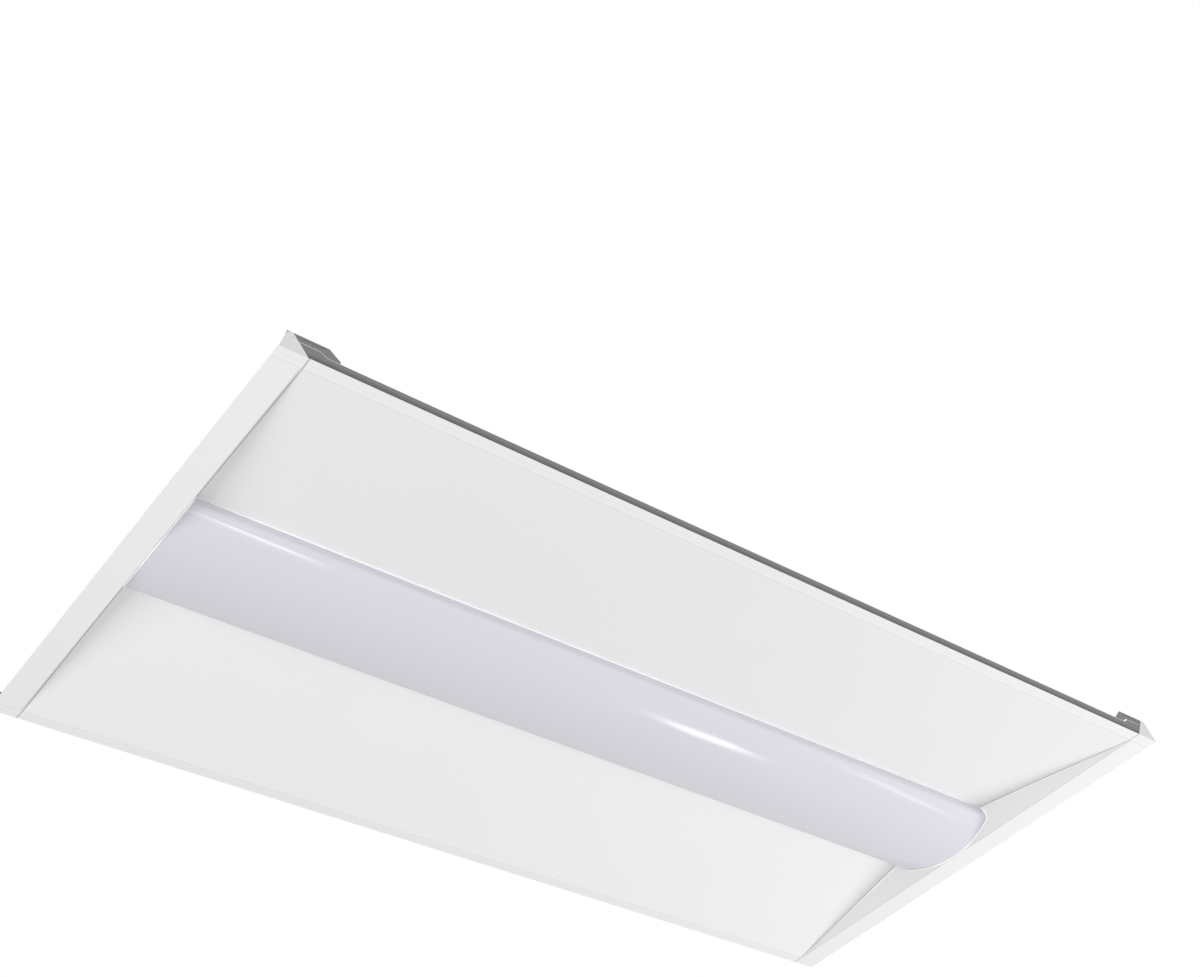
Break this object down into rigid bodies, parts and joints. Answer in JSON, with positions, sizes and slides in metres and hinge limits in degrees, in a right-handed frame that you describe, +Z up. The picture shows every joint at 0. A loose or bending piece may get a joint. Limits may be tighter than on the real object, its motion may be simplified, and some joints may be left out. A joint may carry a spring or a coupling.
{
  "type": "recessed troffer light",
  "caption": "Lay-in ceiling light with white sheet-metal wings, wedge end plates, a curved milky lens along the centre and a driver box on its back.",
  "frame": {"origin": "middle of the flange plane, the underside that rests on the ceiling grid", "axes": "+X along the fixture, +Y across it, +Z up into the ceiling void"},
  "size_m": [1.213, 0.603, 0.0912],
  "materials": {
    "black_lead": "smooth insulation",
    "black_plastic": "moulded, fine matt grain",
    "board_white": "white solder mask",
    "box_paint": "satin white powder coat",
    "bright_steel": "zinc plated",
    "connector_white": "moulded nylon",
    "driver_aluminium": "fine satin",
    "green_lead": "smooth insulation",
    "green_screw": "green dyed zinc",
    "grommet_rubber": "matt",
    "led_yellow": "yellow phosphor gel",
    "milky_lens": "milky, slightly glossy extruded plastic",
    "red_lead": "smooth insulation",
    "white_lead": "smooth insulation",
    "white_paint": "satin white powder coat",
    "white_plastic": "moulded",
    "zinc_steel": "dull grey coated steel"
  },
  "bodies": {
    "fixture": {"near_wing": "white_paint", "far_wing": "white_paint", "near_side_rail": "zinc_steel", "far_side_rail": "zinc_steel", "left_end_plate": "white_paint", "right_end_plate": "white_paint", "gear_tray": "white_paint", "diffuser_lens": "milky_lens", "led_board_near_left": "board_white", "led_board_far_left": "board_white", "led_board_near_right": "board_white", "led_board_far_right": "board_white", "led_packages": "led_yellow", "board_links": "connector_white", "board_connectors": "connector_white", "driver_box": "box_paint", "cover_hinge_pins": "bright_steel", "driver_case": "driver_aluminium", "driver_caps": "black_plastic", "driver_screws": "bright_steel", "box_screws": "bright_steel", "selector_block": "black_plastic", "supply_terminal": "connector_white", "earth_screw": "green_screw", "lead_grommet": "grommet_rubber", "tray_rivets": "bright_steel", "plate_rivets": "bright_steel", "board_rivets": "white_plastic", "line_lead": "black_lead", "neutral_lead": "white_lead", "earth_lead": "green_lead", "positive_leads": "red_lead", "negative_leads": "black_lead", "earth_lug": "bright_steel"},
    "access_cover": {"access_cover": "box_paint", "cover_screw": "bright_steel"},
    "wattage_knob": {"wattage_knob": "white_plastic"},
    "colour_knob": {"colour_knob": "white_plastic"},
    "near_left_clip": {"near_left_clip": "zinc_steel"},
    "near_right_clip": {"near_right_clip": "zinc_steel"},
    "far_left_clip": {"far_left_clip": "zinc_steel"},
    "far_right_clip": {"far_right_clip": "zinc_steel"}
  },
  "joints": [
    {"name": "cover_hinge", "type": "hinge", "parent": "fixture", "child": "access_cover", "pos_m": [0, 0.0545, 0.0869], "axis": [-1, 0, 0], "range_deg": [0, 110]},
    {"name": "wattage_slide", "type": "slide", "parent": "fixture", "child": "wattage_knob", "axis": [1, 0, 0], "range_m": [-0.004, 0.004]},
    {"name": "colour_slide", "type": "slide", "parent": "fixture", "child": "colour_knob", "axis": [1, 0, 0], "range_m": [-0.004, 0.004]},
    {"name": "near_left_clip_swing", "type": "hinge", "parent": "fixture", "child": "near_left_clip", "pos_m": [-0.5855, -0.30065, 0.0226], "axis": [0, 0, -1], "range_deg": [0, 90]},
    {"name": "near_right_clip_swing", "type": "hinge", "parent": "fixture", "child": "near_right_clip", "pos_m": [0.5855, -0.30065, 0.0226], "axis": [0, 0, 1], "range_deg": [0, 90]},
    {"name": "far_left_clip_swing", "type": "hinge", "parent": "fixture", "child": "far_left_clip", "pos_m": [-0.5855, 0.30065, 0.0226], "axis": [0, 0, 1], "range_deg": [0, 90]},
    {"name": "far_right_clip_swing", "type": "hinge", "parent": "fixture", "child": "far_right_clip", "pos_m": [0.5855, 0.30065, 0.0226], "axis": [0, 0, -1], "range_deg": [0, 90]}
  ]
}
